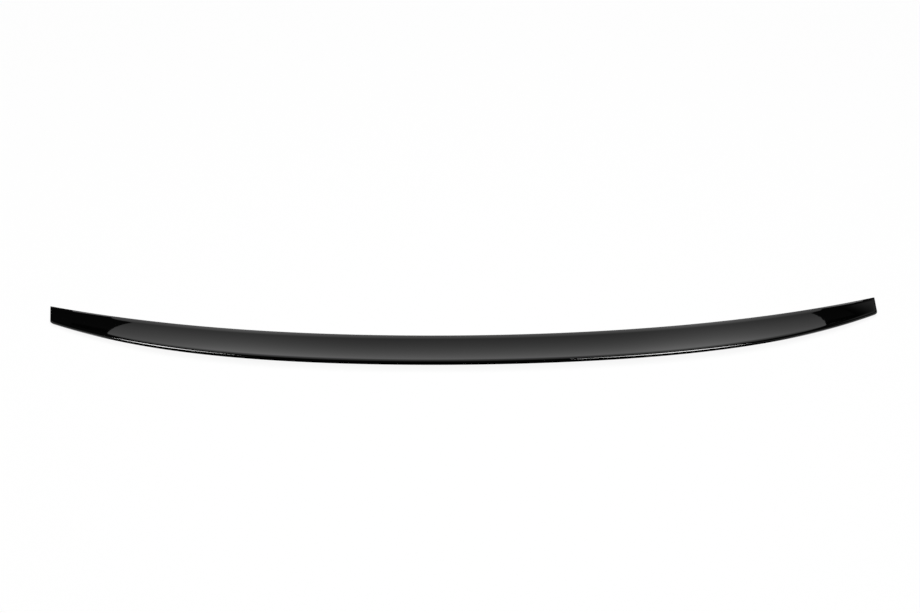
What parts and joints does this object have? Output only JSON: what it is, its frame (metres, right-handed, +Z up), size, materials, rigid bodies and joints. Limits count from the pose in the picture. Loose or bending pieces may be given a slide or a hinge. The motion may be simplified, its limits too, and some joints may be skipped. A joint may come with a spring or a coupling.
{
  "type": "car rear spoiler",
  "caption": "Slim gloss black lip spoiler for a car's boot lid: a curved blade that tapers to cut ends, hollow and ribbed underneath, with foam tape to stick it down.",
  "frame": {"origin": "middle of the blade's footprint, in the plane where the foam tape meets the boot lid", "axes": "+X across the car to its right-hand side, +Y towards the front of the car, +Z up and away from the boot lid"},
  "size_m": [1.18, 0.156, 0.0155],
  "materials": {
    "gloss_black": "gloss",
    "foam_tape": "matt"
  },
  "bodies": {
    "root": {"blade": "gloss_black", "tape_front_left": "foam_tape", "tape_front_right": "foam_tape", "tape_rear_left": "foam_tape", "tape_rear_right": "foam_tape"}
  },
  "joints": []
}
